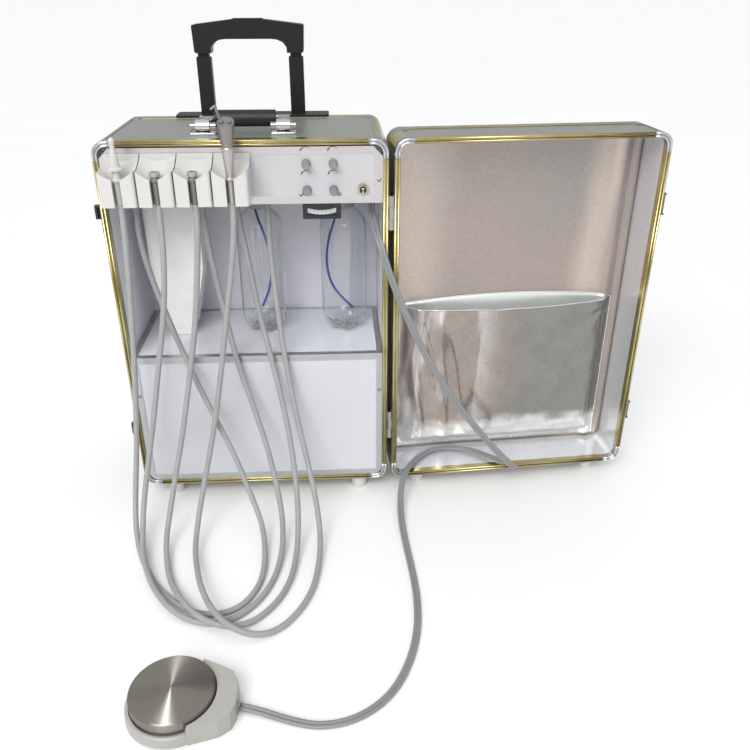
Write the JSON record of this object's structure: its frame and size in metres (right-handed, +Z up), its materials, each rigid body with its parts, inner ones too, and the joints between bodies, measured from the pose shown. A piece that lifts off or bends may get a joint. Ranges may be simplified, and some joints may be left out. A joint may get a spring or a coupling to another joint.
{
  "type": "portable dental unit",
  "caption": "Wheeled metal-edged case that opens as a dental treatment unit: hinged lid with pocket, valve panel, hose-fed instruments in holders, bottles and foot control.",
  "frame": {"origin": "on the floor under the middle of the case", "axes": "+Z up, the open front faces -Y, +X towards the hinged lid"},
  "size_m": [0.8235, 0.738, 0.7185],
  "materials": {
    "case_laminate": "ribbed silver laminate on board",
    "gold_extrusion": "gold anodised extrusion",
    "chrome_fitting": "bright plated",
    "white_rubber": "matt",
    "silver_fabric": "metallised cloth",
    "black_steel": "satin black",
    "wheel_rubber": "matt black",
    "black_plastic": "fine grain black",
    "silver_aluminium": "satin anodised",
    "shelf_laminate": "pale speckled laminate",
    "white_panel": "smooth white",
    "steel": "brushed",
    "grey_plastic": "grey",
    "white_plastic": "smooth white",
    "clear_plastic": "clear",
    "milky_plastic": "translucent white",
    "cast_housing": "painted casting",
    "tank_metal": "satin",
    "pedal_plastic": "pale grey beige",
    "grey_hose": "grey silicone",
    "blue_tube": "blue tube"
  },
  "bodies": {
    "case": {"case_shell": "case_laminate", "case_extrusions": "gold_extrusion", "case_corners": "chrome_fitting", "case_feet": "white_rubber", "case_hinge_leaves": "chrome_fitting", "latch_keepers": "black_steel", "wheel_brackets": "black_steel", "trolley_housing": "black_plastic", "handle_brackets": "chrome_fitting", "shelf_board": "shelf_laminate", "compartment_frame": "silver_aluminium", "lower_panel": "white_panel", "panel_screws": "steel", "control_panel": "silver_aluminium", "control_plate": "white_panel", "valve_block": "silver_aluminium", "toggle_switch": "chrome_fitting", "pressure_gauge": "black_plastic", "instrument_holders": "white_plastic", "bottle_caps": "black_plastic", "bottle_tubes": "blue_tube", "waste_bottle": "milky_plastic", "compressor": "cast_housing", "air_tank": "tank_metal", "pedal_base": "pedal_plastic", "hose_suction": "grey_hose", "hose_handpiece_1": "grey_hose", "hose_handpiece_2": "grey_hose", "hose_syringe": "grey_hose", "foot_hose": "grey_hose"},
    "lid": {"lid_shell": "case_laminate", "lid_extrusions": "gold_extrusion", "lid_corners": "chrome_fitting", "lid_feet": "white_rubber", "lid_lining": "silver_fabric", "lid_pocket": "silver_fabric", "lid_hinge_leaves": "chrome_fitting", "lid_latch_bases": "chrome_fitting"},
    "latch_lower": {"latch_lever_lower": "chrome_fitting"},
    "latch_upper": {"latch_lever_upper": "chrome_fitting"},
    "left_wheel": {"wheel_left": "wheel_rubber"},
    "right_wheel": {"wheel_right": "wheel_rubber"},
    "middle_tubes": {"trolley_tubes": "black_steel"},
    "grip": {"trolley_grip": "black_plastic"},
    "release_button": {"trolley_button": "black_plastic"},
    "top_handle": {"carry_handle": "black_plastic"},
    "dial_upper_left": {"knob_upper_left": "grey_plastic"},
    "dial_upper_right": {"knob_upper_right": "grey_plastic"},
    "dial_lower_left": {"knob_lower_left": "grey_plastic"},
    "dial_lower_right": {"knob_lower_right": "grey_plastic"},
    "switch_lever": {"toggle_lever": "chrome_fitting"},
    "right_bottle": {"water_bottle": "clear_plastic"},
    "left_bottle": {"suction_bottle": "clear_plastic"},
    "suction": {"suction_tip": "white_plastic"},
    "connector_one": {"handpiece_connector_1": "steel"},
    "connector_two": {"handpiece_connector_2": "steel"},
    "syringe": {"syringe_body": "steel"},
    "air_button": {"syringe_button_air": "steel"},
    "water_button": {"syringe_button_water": "steel"},
    "pedal": {"pedal_disk": "steel"}
  },
  "joints": [
    {"name": "lid_hinge", "type": "hinge", "parent": "case", "child": "lid", "pos_m": [0.204, -0.1, 0.3], "axis": [0, 0, 1], "range_deg": [-170, 0], "deforming": ["hose_suction", "hose_handpiece_1", "hose_handpiece_2", "hose_syringe", "foot_hose"]},
    {"name": "latch_lower_turn", "type": "hinge", "parent": "lid", "child": "latch_lower", "pos_m": [0.61128, -0.0572, 0.122], "axis": [0, 0, 1], "range_deg": [-160, 0]},
    {"name": "latch_upper_turn", "type": "hinge", "parent": "lid", "child": "latch_upper", "pos_m": [0.61128, -0.0572, 0.474], "axis": [0, 0, 1], "range_deg": [-160, 0]},
    {"name": "left_wheel_spin", "type": "hinge", "parent": "case", "child": "left_wheel", "pos_m": [-0.15, 0.131, 0.025], "axis": [1, 0, 0], "continuous": true},
    {"name": "right_wheel_spin", "type": "hinge", "parent": "case", "child": "right_wheel", "pos_m": [0.15, 0.131, 0.025], "axis": [1, 0, 0], "continuous": true},
    {"name": "middle_tubes_slide", "type": "slide", "parent": "case", "child": "middle_tubes", "axis": [0, 0, 1], "range_m": [-0.081, 0.15]},
    {"name": "grip_slide", "type": "slide", "parent": "middle_tubes", "child": "grip", "axis": [0, 0, 1], "range_m": [-0.0055, 0.15]},
    {"name": "release_button_press", "type": "slide", "parent": "grip", "child": "release_button", "axis": [0, 0, -1], "range_m": [0, 0.003], "stiffness_N_per_m": 800, "springref_m": -0.002},
    {"name": "top_handle_turn", "type": "hinge", "parent": "case", "child": "top_handle", "pos_m": [0, -0.05, 0.59], "axis": [1, 0, 0], "range_deg": [0, 160]},
    {"name": "dial_upper_left_turn", "type": "hinge", "parent": "case", "child": "dial_upper_left", "pos_m": [0.0865, -0.1, 0.5475], "axis": [0, 1, 0], "range_deg": [-135, 135]},
    {"name": "dial_upper_right_turn", "type": "hinge", "parent": "case", "child": "dial_upper_right", "pos_m": [0.1235, -0.1, 0.5475], "axis": [0, 1, 0], "range_deg": [-135, 135]},
    {"name": "dial_lower_left_turn", "type": "hinge", "parent": "case", "child": "dial_lower_left", "pos_m": [0.0865, -0.1, 0.5115], "axis": [0, 1, 0], "range_deg": [-135, 135]},
    {"name": "dial_lower_right_turn", "type": "hinge", "parent": "case", "child": "dial_lower_right", "pos_m": [0.1235, -0.1, 0.5115], "axis": [0, 1, 0], "range_deg": [-135, 135]},
    {"name": "switch_lever_turn", "type": "hinge", "parent": "case", "child": "switch_lever", "pos_m": [0.164, -0.102, 0.512], "axis": [1, 0, 0], "range_deg": [-50, 0]},
    {"name": "right_bottle_turn", "type": "hinge", "parent": "case", "child": "right_bottle", "pos_m": [0.136, 0.013, 0.36], "axis": [0, 0, 1], "range_deg": [-360, 0]},
    {"name": "left_bottle_turn", "type": "hinge", "parent": "case", "child": "left_bottle", "pos_m": [0.0055, 0.013, 0.36], "axis": [0, 0, 1], "range_deg": [-360, 0]},
    {"name": "suction_lift", "type": "slide", "parent": "case", "child": "suction", "axis": [0, 0, 1], "range_m": [0, 0.12]},
    {"name": "connector_one_lift", "type": "slide", "parent": "case", "child": "connector_one", "axis": [0, 0, 1], "range_m": [0, 0.12]},
    {"name": "connector_two_lift", "type": "slide", "parent": "case", "child": "connector_two", "axis": [0, 0, 1], "range_m": [0, 0.12]},
    {"name": "syringe_lift", "type": "slide", "parent": "case", "child": "syringe", "axis": [0, 0, 1], "range_m": [0, 0.12]},
    {"name": "air_button_press", "type": "slide", "parent": "syringe", "child": "air_button", "axis": [0, 0.3907, -0.9205], "range_m": [0, 0.0015], "stiffness_N_per_m": 400, "springref_m": -0.001},
    {"name": "water_button_press", "type": "slide", "parent": "syringe", "child": "water_button", "axis": [0, 0.3907, -0.9205], "range_m": [0, 0.0015], "stiffness_N_per_m": 400, "springref_m": -0.001},
    {"name": "pedal_press", "type": "slide", "parent": "case", "child": "pedal", "axis": [0, 0, -1], "range_m": [0, 0.005], "stiffness_N_per_m": 3000, "springref_m": -0.004}
  ]
}
